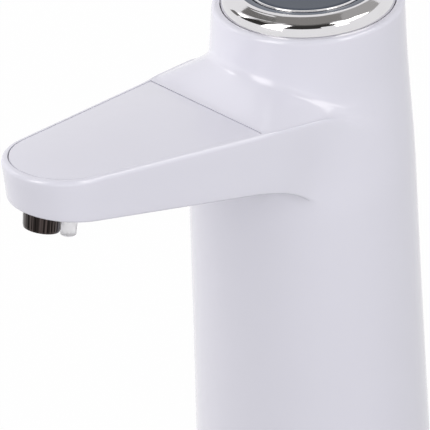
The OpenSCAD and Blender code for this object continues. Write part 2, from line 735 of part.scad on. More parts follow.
module top_bezel() {
    color([0.8, 0.8, 0.82]) at_ring(0) rotate_extrude() polygon([
        [panel_r, seat_z + 2.7], [ring_r, seat_z + 2.7], [ring_r, body_h],
        [ring_r - 0.9, body_h + 0.55 * bezel_rise], [panel_r + 1.3, body_h + bezel_rise - 0.5],
        [panel_r + 0.6, body_h + bezel_rise], [panel_r + 0.2, body_h + bezel_rise],
        [panel_r, panel_z - 0.2]]);
}

module panel_ring() {
    color([0.27, 0.31, 0.37]) at_ring(panel_z - 3) tube(panel_r - 0.1, key_r, 3);
}

module button_cap() {
    color([0.23, 0.27, 0.33]) at_ring(0) {
        translate([0, 0, panel_z - 2.6]) cylinder(r = key_r - 1.1, h = 2.8);
        post_z = board_z + 1.6 + 1 + key_travel + 0.3 + 2.4;
        translate([0, 0, post_z]) cylinder(r = 3, h = panel_z - 2 - post_z);
    }
}

module button_trim() {
    color([0.8, 0.82, 0.85]) at_ring(panel_z - 2.6) tube(key_r - 0.4, key_r - 1.1, 2.9);
}

body_shell();
spout_cover();
base_collar();
collar_screws();
neck_seal();
hose_tail();
hose_nut();
chassis();
upper_bracket();
bracket_screws();
pump_boot();
pump_head();
outlet_valve();
valve_plate();
inlet_valves();
diaphragm();
pump_case();
pump_screws();
swing_frame();
drive_pin();
eccentric_wheel();
motor_shaft();
motor_can();
front_bush();
motor_magnets();
armature_core();
armature_windings();
commutator();
motor_brushes();
motor_end_cap();
rear_bush();
motor_leads();
inlet_hose();
outlet_hose();
outlet_elbow();
outlet_nozzle();
light_pipe();
light_board();
battery_cell();
battery_tabs();
battery_leads();
charge_board();
usb_socket();
charge_leads();
control_board();
board_screws();
tact_switch();
switch_plunger();
panel_carrier();
top_bezel();
panel_ring();
button_cap();
button_trim();
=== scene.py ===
"""Dresses the frame of a water bottle pump: glossy white body with its spout, bright top ring,
dark push button, nozzle, clear pipe, foot and charging socket, with a plain studio round it."""

import json
from math import asin, atan, atan2, cos, degrees, hypot, pi, radians, sin, sqrt

import bpy
from bpy.props import FloatProperty, FloatVectorProperty, PointerProperty
from bpy.types import NodeSocket, Operator, Panel, PropertyGroup
from mathutils import Matrix, Vector


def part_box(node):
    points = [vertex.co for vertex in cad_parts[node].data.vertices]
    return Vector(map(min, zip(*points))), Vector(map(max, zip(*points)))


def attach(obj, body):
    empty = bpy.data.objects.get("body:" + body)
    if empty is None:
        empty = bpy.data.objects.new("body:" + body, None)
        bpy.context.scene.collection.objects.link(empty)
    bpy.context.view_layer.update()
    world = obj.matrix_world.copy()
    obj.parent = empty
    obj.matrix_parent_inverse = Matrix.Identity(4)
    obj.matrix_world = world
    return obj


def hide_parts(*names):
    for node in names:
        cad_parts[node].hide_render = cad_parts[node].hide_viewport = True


bl_info = {
    "name": "Water bottle pump",
    "version": (1, 0, 0),
    "blender": (4, 5, 0),
    "location": "View3D > Sidebar > Pump",
    "description": "Models and finishes the outside of a water bottle pump on its frame",
    "category": "Object",
}

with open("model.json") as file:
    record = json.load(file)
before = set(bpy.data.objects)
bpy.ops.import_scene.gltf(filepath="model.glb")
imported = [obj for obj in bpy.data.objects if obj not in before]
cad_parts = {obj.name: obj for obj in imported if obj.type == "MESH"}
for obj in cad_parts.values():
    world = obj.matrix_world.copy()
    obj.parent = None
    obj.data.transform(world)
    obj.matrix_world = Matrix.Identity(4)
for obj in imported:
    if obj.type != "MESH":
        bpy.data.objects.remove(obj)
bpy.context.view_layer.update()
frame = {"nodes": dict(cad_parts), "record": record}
MM = 0.001
BODY_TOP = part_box("body_shell")[1].z / MM
RING_LOW, RING_HIGH = (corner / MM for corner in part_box("top_bezel"))
RING_R = (RING_HIGH.x - RING_LOW.x) / 2
RING_Y = (RING_HIGH.y + RING_LOW.y) / 2
FOOT_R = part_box("base_collar")[1].x / MM
COLLAR_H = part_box("base_collar")[1].z / MM
SCREW_HEAD_R = 2.6
SCREW_R = -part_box("collar_screws")[0].y / MM - SCREW_HEAD_R
SPIGOT_LOW, SPIGOT_HIGH = (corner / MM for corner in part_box("hose_tail"))
SPIGOT_Y = (SPIGOT_LOW.y + SPIGOT_HIGH.y) / 2
ON_RING_AXIS = Matrix.Translation((0, RING_Y * MM, 0))

# Chamfer at the body's foot, and height of the rounding of its top edge
FOOT_CHAMFER, TOP_SOFT = 0.5, 1.3
# Rows and pull of the wall's rounded corners: spout root, lower edge, rim, ramp foot, ramp top
CORNERS = ((9, 0.7), (9, 0.7), (7, 0.7), (5, 0.9), (7, 0.9))
# Rows in the straight runs between those corners, on the lower body and above the ramp
RUNS = (5, 5, 5, 4)
LOW_ROWS, TOP_ROWS = 17, 8
# The last row of the lower edge
EDGE_ROW = LOW_ROWS + CORNERS[0][0] + RUNS[0] + CORNERS[1][0] - 1
# Drops below the top edge where those corners' rows lie on the plain back, outside and inside
BACK_SPANS = ((57, 52), (51.6, 49), (36, 32), (29.4, 27), (22, 17.5))
BACK_INSIDE = (20, 28, 34, 48, 54)
# Drop below the top edge where the plain back starts to lean in to the ring, and height of that change
LEAN_DROP, LEAN_SPAN = 58, 44
# Turns from the spout, in degrees, over which its lower edges and its upper part die out
LOW_FADE, TOP_FADE = (40, 66), (58, 104)

# Width and height of the charging socket's opening, shell, well and tongue
SOCKET_MOUTH, SOCKET_SHELL, SOCKET_WELL, SOCKET_TONGUE = (9.6, 3.9), (8.9, 3.2), (8.3, 2.6), (6.6, 0.7)
# Radius of the hole for the nozzle's feed, and where the holes in the underside start and end
FEED_HOLE_R, HOLE_SPAN = 3.1, (-3, 6)

# Studio lights: place in metres, power in watts and colour
LAMPS = {"Left light": ((-1.3, -0.5, 0.36), 13.2, (1, 0.99, 0.97)),
         "Front light": ((1.06, -0.92, 0.315), 8.6, (1, 1, 1)),
         "Right light": ((1.165, 0.42, 0.756), 2.9, (1, 1, 1))}
LAMP_TARGET, LAMP_SIZE = Vector((0, -0.03, 0.12)), 1.2
# Strength of the surroundings for soft light, and as the camera, polished surfaces and glass see them
SOFT_LIGHT, SEEN_LIGHT = 0.742, 1.0

# Parts of a dome that only polished surfaces see: left and right bearing from the camera's side, low
# and high elevation, all in degrees, and shade. The panes glow in front of the rest
BLACK, DARK, DIM, GREY, WHITE = ((g, 0.97 * g, 0.93 * g) for g in (0.04, 0.11, 0.2, 0.28, 1.0))
PALE = (0.45, 0.44, 0.43)
CARDS = {"Dark front": (-36, 14, 24, 66, BLACK),
         "Dark front right": (14, 42, 40, 66, BLACK),
         "Dark left": (-102, -66, 12, 50, BLACK),
         "Dark far left": (-124, -106, 8, 26, DIM),
         "Grey left": (-112, -66, 50, 66, GREY),
         "Grey right": (84, 164, 38, 66, PALE),
         "Low ceiling": (-66, 62, 66, 74, DARK),
         "Middle ceiling": (-100, 100, 74, 81, DIM),
         "Far ceiling": (100, 260, 66, 81, GREY),
         "Far left": (-152, -134, 42, 66, DIM),
         "Ceiling": (-180, 180, 81, 90, GREY)}
PANES = {"Pane left": (-65, -37, 10, 62, WHITE),
         "Low pane right": (34, 52, 20, 40, WHITE),
         "Pane right": (42, 72, 40, 64, WHITE),
         "Pane far right": (72, 104, 42, 58, WHITE),
         "Pane far left": (-117, -102, 28, 40, WHITE)}
CARD_REACH, CARD_GLOW, PANE_REACH, PANE_GLOW, DOME_CENTRE = 1.5, 1, 1.4, 5, (0, 0, 0.18)

# The photograph's camera: place in metres, turns in degrees, focal length and width in pixels
CAMERA_TARGET, CAMERA_REACH = Vector((0, -0.037, 0.1215)), 0.8
CAMERA_TURN, CAMERA_LIFT, CAMERA_ROLL = 50, 30, -3.52
FOCAL_PIXELS, PICTURE_PIXELS, SENSOR = 2592, 430, 36


def length(name, about, mm):
    """A size that a user may change, kept in metres."""
    return FloatProperty(name=name, description=about, default=mm * MM, precision=5,
                         subtype="DISTANCE", unit="LENGTH")


def ratio(name, about, value):
    """A plain number that a user may change."""
    return FloatProperty(name=name, description=about, default=value, precision=4, subtype="FACTOR")


def tint(name, about, red, green, blue):
    """A colour that a user may change, given as it looks on a screen, from 0 to 255."""
    linear = [((c / 255 + 0.055) / 1.055) ** 2.4 if c > 10 else c / 3294.6 for c in (red, green, blue)]
    return FloatVectorProperty(name=name, description=about, default=linear, size=3,
                               min=0, max=1, subtype="COLOR")


class BodySizes(PropertyGroup):
    """Sizes of the white body and its spout."""

    body_h: length("Body height", "Height of the body's top edge above the foot", BODY_TOP)
    base_r: length("Foot radius", "Radius of the body at the foot", FOOT_R)
    back_r: length("Back radius", "Distance from the axis to the upright back at the top", 35.1)
    flare: ratio("Flare", "Power of the curve by which the body widens downward", 1.4)
    top_r: length("Top radius", "Radius of the body's top edge", 29.65)
    up_taper: ratio("Upper taper", "Growth in radius of the upper body downward", 0.064)
    wall: length("Wall", "Thickness of the body's wall", 2.4)
    reach: length("Reach", "Distance from the axis to the spout's tip", 110.6)
    tip_r: length("Tip radius", "Radius of the rounded tip, seen from above", 18)
    root_r: length("Root radius", "Radius that the spout's sides are tangent to", 32.6)
    rim_drop: length("Rim drop", "Drop from the top edge to the spout's top face", 23.7)
    rim_slope: ratio("Rim slope", "Rise of the spout's top face forward", 0.094)
    under_drop: length("Underside drop", "Drop from the top edge to the spout's underside", 48)
    under_slope: ratio("Underside slope", "Rise of the spout's underside forward", 0.198)
    run_s: length("Run-out start", "Distance from the axis where the lower edges start to curl", 44)
    run_span: length("Run-out span", "Length over which the lower edges curl into the body", 24)
    run_dip: length("Run-out dip", "Drop of the lower edges where they die out in the body", 4.2)
    draft: length("Draft", "Inset of the underside's outline from the rim", 0.5)
    lip: length("Lip", "Width of the rim left around the top cover", 1.6)
    seam: length("Seam", "Air around the top cover", 0.1)
    tip_seam: length("Tip seam", "Extra air at the top cover's tip", 0.22)
    back_seam: length("Back seam", "Extra air at the foot of the ramp", 0.2)
    ramp_s: length("Ramp foot", "Distance from the axis to the foot of the ramp", 36.7)
    crown_drop: length("Ramp top drop", "Drop from the top edge to the ramp's upper edge", 26.5)
    ramp_rise: ratio("Ramp rise", "Rise of the ramp's upper edge forward", 0.538)
    rim_soft: length("Rim softness", "Rounding of the spout's rim", 1.5)
    low_soft: length("Lower edge softness", "Rounding of the spout's lower edge", 0.9)
    root_soft: length("Root softness", "Fillet between the spout's underside and the body", 9)
    cove: length("Cove", "Least height of that fillet on the body", 5)
    ramp_soft: length("Ramp softness", "Fillet at the foot of the ramp", 0.9)
    crown_soft: length("Ramp top softness", "Fillet at the top of the ramp", 2)


class OutletSizes(PropertyGroup):
    """Sizes of the nozzle and the clear pipe."""

    nozzle_s: length("Nozzle place", "Distance from the axis to the nozzle", 101.5)
    nozzle_r: length("Nozzle radius", "Radius of the nozzle's skirt at the spout", 5.8)
    nozzle_len: length("Nozzle length", "Length of the nozzle below the spout", 7)
    feed: length("Feed set-back", "Set-back of the feed behind the nozzle's centre", 1.4)
    pipe_s: length("Pipe place", "Distance from the axis to the clear pipe", 91.4)
    pipe_r: length("Pipe radius", "Radius of the clear pipe at the spout", 2.9)
    pipe_len: length("Pipe length", "Length of the clear pipe below the spout", 11.2)


class TopSizes(PropertyGroup):
    """Sizes of the bright ring, the panel and the push button."""

    ring_r: length("Ring radius", "Outer radius of the bright ring", RING_R)
    panel_r: length("Panel radius", "Outer radius of the dark panel", 21)
    key_r: length("Button well radius", "Radius of the well that the button sits in", 18.9)
    rise: length("Ring rise", "Height of the bright ring above the body", RING_HIGH.z - BODY_TOP)
    open_r: length("Opening radius", "Radius of the opening in the body's top", 27.2)
    seat_drop: length("Seat drop", "Drop from the body's top to the ring's seat", 10)
    dish: length("Button dish", "Depth of the dish in the button's top", 0.35)


class FootSizes(PropertyGroup):
    """Sizes of the foot collar and what hangs in it."""

    neck_r: length("Neck radius", "Radius of the bore for the bottle's neck", 27.75)
    neck_depth: length("Neck depth", "Depth of the bore for the bottle's neck", 18)
    guide_h: length("Guide height", "Height of the close part of the bore", 9.6)
    relief: length("Relief", "Relief of the bore above its guide", 0.45)
    screw_r: length("Screw circle", "Radius of the circle that the collar's screws lie on", SCREW_R)
    socket_z: length("Socket height", "Height of the charging socket", 46)


class Finishes(PropertyGroup):
    """Colours of the pieces."""

    shell: tint("Body", "Glossy white plastic", 221, 220, 230)
    panel: tint("Panel", "Slate panel around the button", 92, 99, 112)
    button: tint("Button", "Dark slate button", 62, 70, 84)
    bright: tint("Bright metal", "Polished ring", 225, 224, 226)
    nozzle: tint("Dark chrome", "Polished dark nozzle", 40, 35, 34)
    # Colour of the painted reflection streaks: lighter streaks painted into the nozzle's base colour in place
    # of reflections
    painted_reflection_streaks: tint("Dark chrome streaks", "Lighter streaks of the nozzle", 112, 100, 98)
    clear: tint("Clear plastic", "Pipe behind the nozzle", 246, 245, 247)
    inner: tint("Inner plastic", "Chassis and bracket", 190, 194, 200)
    pump: tint("Pump plastic", "Pump case and valve plate", 148, 152, 158)
    light: tint("Off-white plastic", "Small moulded parts", 226, 224, 216)
    dark: tint("Dark plastic", "Panel carrier and switch", 52, 52, 57)
    silicone: tint("Silicone", "Seal and hoses", 214, 217, 222)
    rubber: tint("Rubber", "Boot and diaphragm", 44, 44, 48)
    valve: tint("Valve rubber", "Valve flaps", 178, 82, 60)
    steel: tint("Steel", "Screws and motor can", 176, 177, 180)
    magnet: tint("Iron", "Magnets and armature core", 68, 68, 72)
    bronze: tint("Bronze", "Bushes", 186, 148, 86)
    copper: tint("Copper", "Windings and commutator", 190, 104, 58)
    wrap: tint("Cell wrap", "Shrink wrap of the battery cell", 52, 98, 160)
    board: tint("Board", "Solder mask of the boards", 26, 86, 52)
    red: tint("Red wire", "Insulation of the red leads", 184, 38, 32)
    black: tint("Black wire", "Insulation of the black leads", 24, 24, 26)
    floor: tint("Floor", "Pale studio floor", 152, 152, 153)


GROUPS = (("pump_body", BodySizes), ("pump_outlet", OutletSizes), ("pump_top", TopSizes),
          ("pump_foot", FootSizes), ("pump_finish", Finishes))


class Sizes:
    """The sizes of the property groups in millimetres, and the ratios as they are."""

    def __init__(self):
        for name, kind in GROUPS[:-1]:
            group = getattr(bpy.context.scene, name)
            for key, prop in kind.bl_rna.properties.items():
                if prop.type == "FLOAT":
                    value = getattr(group, key)
                    setattr(self, key, value / MM if prop.subtype == "DISTANCE" else value)
        self.tip_d = self.reach - self.tip_r
        self.set_back = self.back_r - self.top_r
        self.seat_z = self.body_h - self.seat_drop
        self.panel_z = self.body_h + self.rise - 0.4

    def low_r(self, z):
        """Radius of the lower body at a height."""
        return self.back_r + (self.base_r - self.back_r) * max(0, 1 - z / self.body_h) ** self.flare

    def ray(self, a, back, r):
        """Distance from the axis to a circle that is set back, along a direction."""
        return -back * cos(a) + sqrt(r * r - (back * sin(a)) ** 2)

    def up_ray(self, a, z):
        """Distance from the axis to the upper body, along a direction."""
        r = self.top_r + self.up_taper * (self.body_h - z)
        return self.ray(a, self.low_r(z) - r, r)

    def back_ray(self, a, z):
        """Distance from the axis to the plain body, where the spout has died out."""
        low = self.low_r(z)
        return low + (self.up_ray(a, z) - low) * ease((z - self.body_h + LEAN_DROP) / LEAN_SPAN)

    def spout_ray(self, a, inset):
        """Distance from the axis to the spout's outline, drawn in by an inset."""
        q, rb, rt = abs(a), self.root_r - inset, self.tip_r - inset
        b = asin((rb - rt) / self.tip_d)
        if q < atan2(rt * cos(b), self.tip_d + rt * sin(b)):
            return self.tip_d * cos(q) + sqrt(rt * rt - (self.tip_d * sin(q)) ** 2)
        return rb / sin(q + b) if q < pi / 2 - b else rb

    def rim_z(self, s):
        """Height of the spout's top face at a distance forward."""
        return self.body_h - self.rim_drop + self.rim_slope * s

    def under_z(self, s):
        """Height of the spout's underside at a distance forward."""
        return self.body_h - self.under_drop + self.under_slope * s

    def cover_frame(self):
        """The spout's top face, with local Z square to it."""
        place = Matrix.Translation((0, 0, self.rim_z(0) * MM))
        return place @ Matrix.Rotation(-atan(self.rim_slope), 4, "X")

    def under_frame(self, s):
        """A place on the spout's underside, with local Z square to it and pointing inward."""
        place = Matrix.Translation((0, -s * MM, self.under_z(s) * MM))
        return place @ Matrix.Rotation(-atan(self.under_slope), 4, "X")

    def socket_frame(self, y):
        """The charging socket's place at a depth in millimetres, with local Z pointing out of the back."""
        return Matrix.Translation((0, y * MM, self.socket_z * MM)) @ Matrix.Rotation(-pi / 2, 4, "X")

    def cover_outline(self, inset, count=48):
        """Outline of the top cover in its own plane, drawn in from the rim."""
        b = asin((self.root_r - self.tip_r) / self.tip_d)
        r = self.tip_r - inset
        y = -self.ramp_s - inset
        x = (self.root_r - inset + y * sin(b)) / cos(b)
        turn = [b + i * (pi - 2 * b) / count for i in range(count + 1)]
        return [(-x, y), (x, y)] + [(r * cos(t), -self.tip_d - r * sin(t)) for t in turn]


def ease(t):
    """A soft change from nought to one."""
    t = min(1, max(0, t))
    return t * t * (3 - 2 * t)


def soft_min(p, q, width):
    """The lesser of two lengths, with a soft change from one to the other."""
    t = max(0, 1 - abs(p - q) / width)
    return min(p, q) - width * t * t * t / 6


def spread(low, high, count):
    """Evenly spaced numbers from low to high."""
    return [low + (high - low) * i / (count - 1) for i in range(count)]


def bow(p, corner, q, count, pull=0.75):
    """A rounded corner from p to q."""
    points = []
    for t in spread(0, 1, count):
        u, v, w = (1 - t) ** 2, 2 * pull * t * (1 - t), t * t
        points.append((p * u + corner * v + q * w) / (u + v + w))
    return points


def between(p, q, count):
    """Points strictly between p and q."""
    return [p.lerp(q, (i + 1) / (count + 1)) for i in range(count)]


def deselect():
    """Leaves edit mode and selects nothing."""
    if bpy.context.object and bpy.context.object.mode != "OBJECT":
        bpy.ops.object.mode_set(mode="OBJECT")
    bpy.ops.object.select_all(action="DESELECT")


def choose(piece):
    """Makes a piece the only selected object."""
    deselect()
    piece.select_set(True)
    bpy.context.view_layer.objects.active = piece


def pick(piece, kind, test):
    """Opens a piece for editing with the points, edges or faces selected that pass a test."""
    choose(piece)
    mesh = piece.data
    parts = {"VERT": mesh.vertices, "EDGE": mesh.edges, "FACE": mesh.polygons}
    bpy.context.tool_settings.mesh_select_mode = [key == kind for key in parts]
    for key, items in parts.items():
        for item in items:
            item.select = key == kind and test(item)
    bpy.ops.object.mode_set(mode="EDIT")


def close_up(piece):
    """Merges doubled points and turns all faces outward."""
    choose(piece)
    bpy.ops.object.mode_set(mode="EDIT")
    bpy.ops.mesh.select_all(action="SELECT")
    bpy.ops.mesh.remove_doubles(threshold=1e-7)
    bpy.ops.mesh.normals_make_consistent(inside=False)
    bpy.ops.object.mode_set(mode="OBJECT")


def loop(name, points):
    """A closed loop of edges through points given in millimetres."""
    deselect()
    bpy.ops.mesh.primitive_circle_add(vertices=len(points), radius=0.01)
    piece = bpy.context.object
    piece.name = piece.data.name = name
    for vertex, point in zip(piece.data.vertices, points):
        vertex.co = Vector(point) * MM
    return piece


def twin(piece, name):
    """A copy of a piece, with a mesh of its own."""
    choose(piece)
    bpy.ops.object.duplicate(linked=False)
    copy = bpy.context.object
    copy.name = copy.data.name = name
    return copy


def settle(piece, place):
    """Puts a piece in its place, with the place in its mesh."""
    choose(piece)
    piece.matrix_world = place
    bpy.ops.object.transform_apply(location=True, rotation=True, scale=True)


def soften(piece, width, segments=3, angle=30):
    """Rounds the sharp edges of a piece."""
    choose(piece)
    bevel = piece.modifiers.new("Soft edges", "BEVEL")
    bevel.width = width * MM
    bevel.segments = segments
    bevel.limit_method = "ANGLE"
    bevel.angle_limit = radians(angle)
    bpy.ops.object.modifier_apply(modifier=bevel.name)


def cut(piece, *cutters):
    """Cuts one piece with others, which are then gone."""
    for cutter in cutters:
        close_up(cutter)
        choose(piece)
        boolean = piece.modifiers.new("Cut", "BOOLEAN")
        boolean.operation = "DIFFERENCE"
        boolean.solver = "EXACT"
        boolean.object = cutter
        bpy.ops.object.modifier_apply(modifier=boolean.name)
        bpy.data.objects.remove(cutter)


def prism(name, outline, low, high, place=None):
    """A block on an outline in its local XY plane, between two local heights, in millimetres."""
    piece = loop(name, [(x, y, low) for x, y in outline])
    choose(piece)
    bpy.ops.object.mode_set(mode="EDIT")
    bpy.ops.mesh.select_all(action="SELECT")
    bpy.ops.mesh.edge_face_add()
    bpy.ops.mesh.extrude_region_move(TRANSFORM_OT_translate={"value": (0, 0, (high - low) * MM)})
    close_up(piece)
    if place:
        settle(piece, place)
    return piece


def turned(name, outline, place=None, steps=128, soft=0.0):
    """A piece turned on a lathe from a closed outline of radius and height in millimetres."""
    piece = loop(name, [(r, 0, z) for r, z in outline])
    pick(piece, "EDGE", lambda edge: all(piece.data.vertices[i].co.x < 1e-9 for i in edge.vertices))
    bpy.ops.mesh.delete(type="EDGE")
    bpy.ops.mesh.select_mode(type="VERT")
    bpy.ops.mesh.select_all(action="SELECT")
    bpy.ops.mesh.spin(steps=steps, angle=2 * pi, center=(0, 0, 0), axis=(0, 0, 1))
    close_up(piece)
    if soft:
        soften(piece, soft)
    if place:
        settle(piece, place)
    return piece


def round_outline(r, count=32, x=0.0, y=0.0):
    """A circle about a point."""
    turns = [2 * pi * i / count for i in range(count)]
    return [(x + r * cos(t), y + r * sin(t)) for t in turns]


def box_outline(width, height):
    """A rectangle about the origin."""
    x, y = width / 2, height / 2
    return [(-x, -y), (x, -y), (x, y), (-x, y)]


def slot_outline(width, height, count=24):
    """A slot with round ends, seen from its mouth."""
    r, half = height / 2, (width - height) / 2
    turns = spread(-pi / 2, pi / 2, count)
    right = [(half + r * cos(t), r * sin(t)) for t in turns]
    return right + [(-x, -y) for x, y in right]


def finish_name(slot):
    """The name of a slot's material, in plain words."""
    return slot.replace("_", " ").capitalize()


def dress(piece, slot, *nodes, body="housing", angle=35):
    """Shades a finished piece, gives it its material and ties it to the frame."""
    choose(piece)
    bpy.ops.object.shade_smooth_by_angle(angle=radians(angle))
    piece.data.materials.clear()
    piece.data.materials.append(bpy.data.materials[finish_name(slot)])
    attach(piece, body)
    if nodes:
        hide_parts(*nodes)


def columns(sizes):
    """Directions of the body's columns, measured from the spout, dense round the tip."""
    b = asin((sizes.root_r - sizes.tip_r) / sizes.tip_d)
    half = [atan2(sizes.tip_r * sin(t), sizes.tip_d + sizes.tip_r * cos(t))
            for t in spread(0, pi / 2 - b, 34)[1:]]
    tangent = sizes.tip_d + sizes.tip_r * sin(b)
    for s in spread(tangent, 2, 52)[1:]:
        half.append(atan2((sizes.root_r - s * sin(b)) / cos(b), s))
    half += spread(pi / 2, pi, 48)[:-1]
    return [-a for a in reversed(half)] + [0.0] + half + [pi]


def wall_rows(s, a):
    """One closed loop of the body's wall in a direction: outer skin upward, inner skin downward."""
    c, top, turn = cos(a), s.body_h, degrees(abs(a))

    def on_top(r):
        return Vector((r, s.rim_z(r * c)))

    def on_under(r):
        return Vector((r, s.under_z(r * c) - dip))

    def on_upper(z):
        return Vector((s.up_ray(a, z), z))

    def on_ring(r, z):
        return Vector((s.ray(a, s.set_back, r), z))

    # The sharp corners of the spout and the ramp
    root_r = s.low_r(s.under_z(s.back_r * c))
    edge_r = max(root_r + 0.4, s.spout_ray(a, s.draft))
    rim_r = s.spout_ray(a, 0)
    foot_r = soft_min(rim_r - 1.2, s.ramp_s / c if c > 0.05 else rim_r, 9)
    dip = s.run_dip * min(1.2, max(0, (s.run_s - edge_r * c) / s.run_span)) ** 2
    root, edge, rim, foot = on_under(root_r), on_under(edge_r), on_top(rim_r), on_top(foot_r)
    ramp_drop = s.crown_drop - s.ramp_rise * s.up_ray(a, top - 16) * c
    crown = on_upper(-soft_min(ramp_drop - top, -foot.y - 0.4, 3))

    # Where the rounding of each corner starts and ends
    fillet = min(s.root_soft, 0.5 * (edge_r - root_r))
    root_z = root.y - max(s.cove, fillet)
    side, ramp = max(1, rim.y - edge.y), max(0.1, (crown - foot).length)
    root_low = Vector((s.low_r(root_z), root_z))
    edge_in = on_under(max(root_r + 0.6 * (edge_r - root_r), s.spout_ray(a, s.draft + s.low_soft)))
    rim_in = on_top(max(foot_r + 0.6 * (rim_r - foot_r), s.spout_ray(a, s.rim_soft)))
    foot_out = on_top(foot_r + min(s.ramp_soft, 0.4 * (rim_in.x - foot_r)))
    crown_up = on_upper(crown.y + s.crown_soft)
    corners = ((root_low, root, on_under(root_r + fillet)),
               (edge_in, edge, edge.lerp(rim, min(0.4, s.low_soft / side))),
               (rim.lerp(edge, min(0.3, s.rim_soft / side)), rim, rim_in),
               (foot_out, foot, foot.lerp(crown, min(0.4, s.ramp_soft / ramp))),
               (crown.lerp(foot, min(0.4, s.crown_soft / ramp)), crown, crown_up))

    # Points of the spout's wall, and the heights of the same rows on the plain back
    low_z = COLLAR_H + FOOT_CHAMFER
    front = [Vector((s.low_r(z), z)) for z in spread(low_z, root_z, LOW_ROWS + 1)[:-1]]
    heights = spread(low_z, top - BACK_SPANS[0][0], LOW_ROWS + 1)[:-1]
    for k, (corner, (rows, pull), (low, high)) in enumerate(zip(corners, CORNERS, BACK_SPANS)):
        if k:
            front += between(front[-1], corner[0], RUNS[k - 1])
            heights += spread(heights[-1], top - low, RUNS[k - 1] + 2)[1:-1]
        front += bow(*corner, rows, pull)
        heights += spread(top - low, top - high, rows)
    front += [on_upper(z) for z in spread(crown_up.y, top - TOP_SOFT, TOP_ROWS + 1)[1:]]
    heights += spread(heights[-1], top - TOP_SOFT, TOP_ROWS + 1)[1:]

    # The outer skin, in which the lower edges die out before the rest of the spout
    low_fade, fade = (ease((turn - start) / (end - start)) for start, end in (LOW_FADE, TOP_FADE))
    wall = [Vector((s.low_r(COLLAR_H) - FOOT_CHAMFER, COLLAR_H))]
    for k, (point, z) in enumerate(zip(front, heights)):
        share = low_fade + (fade - low_fade) * ease((k - EDGE_ROW) / (RUNS[1] + 1))
        wall.append(point.lerp(Vector((s.back_ray(a, z), z)), share))
    lip = s.up_ray(a, top)
    wall += bow(on_upper(top - TOP_SOFT), Vector((lip, top)), Vector((lip - 1.2, top)), 6)[1:]

    # The opening for the bright ring, and the inner skin
    seat, ledge = s.seat_z, s.open_r - 2.3
    wall += [on_ring(s.open_r, top), on_ring(s.open_r, seat)]
    wall += [on_ring(ledge, seat), on_ring(ledge, seat - 2.4)]
    wall.append(Vector((s.up_ray(a, seat - 4.4) - s.wall, seat - 4.4)))
    thick, root_in, rim_back = Vector((0, s.wall)), root_r - s.wall, rim_r - s.wall
    inside = (Vector((crown.x - s.wall, min(crown.y - 0.8 * s.wall, seat - 5))),
              on_top(min(rim_back - 0.5, foot_r - s.wall / 2)) - thick, on_top(rim_back) - thick,
              on_under(max(root_in + 0.3, edge_r - s.wall)) + thick, on_under(root_in) + thick)
    for point, drop in zip(inside, BACK_INSIDE):
        wall.append(point.lerp(Vector((s.back_ray(a, top - drop) - s.wall, top - drop)), fade))
    return wall + [Vector((s.low_r(z) - s.wall, z)) for z in (76, COLLAR_H)]


class PUMP_OT_body(Operator):
    """Wraps the white body with its spout, and cuts its openings"""

    bl_idname = "pump.body"
    bl_label = "Body"

    def execute(self, context):
        sizes = Sizes()
        skins = []
        for a in columns(sizes):
            out = sin(a), -cos(a)
            skins.append([Vector((r * out[0], r * out[1], z)) * MM for r, z in wall_rows(sizes, a)])
        n, m = len(skins), len(skins[0])
        deselect()
        bpy.ops.mesh.primitive_grid_add(x_subdivisions=n, y_subdivisions=m, size=2)
        body = context.object
        body.name = body.data.name = "body"
        for vertex in body.data.vertices:
            i = round((vertex.co.x + 1) / 2 * n) % n
            j = round((vertex.co.y + 1) / 2 * m) % m
            vertex.co = skins[i][j]
        close_up(body)
        window = prism("window", sizes.cover_outline(sizes.lip), -sizes.wall - 0.6, 4, sizes.cover_frame())
        feed_hole = round_outline(FEED_HOLE_R, y=sizes.feed)
        feed = prism("feed_hole", feed_hole, *HOLE_SPAN, sizes.under_frame(sizes.nozzle_s))
        pipe_hole = round_outline(sizes.pipe_r + 0.15)
        pipe = prism("pipe_hole", pipe_hole, *HOLE_SPAN, sizes.under_frame(sizes.pipe_s))
        socket = prism("socket_hole", slot_outline(*SOCKET_MOUTH), 0, 14, sizes.socket_frame(30))
        cut(body, window, feed, pipe, socket)
        dress(body, "white_plastic", "body_shell", angle=32)
        return {"FINISHED"}


class PUMP_OT_cover(Operator):
    """Makes the flat cover that lies in the spout's top"""

    bl_idname = "pump.cover"
    bl_label = "Spout cover"

    def execute(self, context):
        sizes = Sizes()
        outline = sizes.cover_outline(sizes.lip + sizes.seam, 64)
        back = outline[0][1]
        short = 1 - (sizes.tip_seam + sizes.back_seam) / (sizes.reach + back)
        outline = [(x, back - sizes.back_seam + (y - back) * short) for x, y in outline]
        cover = prism("cover", outline, -sizes.wall, 0, sizes.cover_frame())
        soften(cover, 0.35, 3, 40)
        dress(cover, "white_plastic", "spout_cover")
        return {"FINISHED"}


def screw_places(sizes):
    """Places of the collar's screws, seen from above."""
    turns = [radians(t) for t in (30, 150, 270)]
    return [(sizes.screw_r * cos(t), sizes.screw_r * sin(t)) for t in turns]


class PUMP_OT_collar(Operator):
    """Turns the foot collar with its bore for the bottle's neck"""

    bl_idname = "pump.collar"
    bl_label = "Foot collar"

    def execute(self, context):
        sizes = Sizes()
        bore, room = sizes.neck_r, sizes.neck_r + sizes.relief
        hollow, deep = sizes.low_r(COLLAR_H) - sizes.wall, sizes.neck_depth
        outer = [(sizes.low_r(z), z) for z in spread(0, COLLAR_H, 5)]
        outline = outer + [
            (bore - 7, COLLAR_H), (bore - 7, deep), (room, deep), (room, sizes.guide_h),
            (bore, sizes.guide_h), (bore, 0), (bore + 2.2, 0), (bore + 2.2, deep), (hollow, deep),
            (hollow, 0)]
        collar = turned("collar", outline, soft=0.45, steps=144)
        holes = [prism("screw_hole", round_outline(1.6, 24, x, y), deep - 2, COLLAR_H + 2)
                 for x, y in screw_places(sizes)]
        cut(collar, *holes)
        dress(collar, "white_plastic", "base_collar")
        return {"FINISHED"}


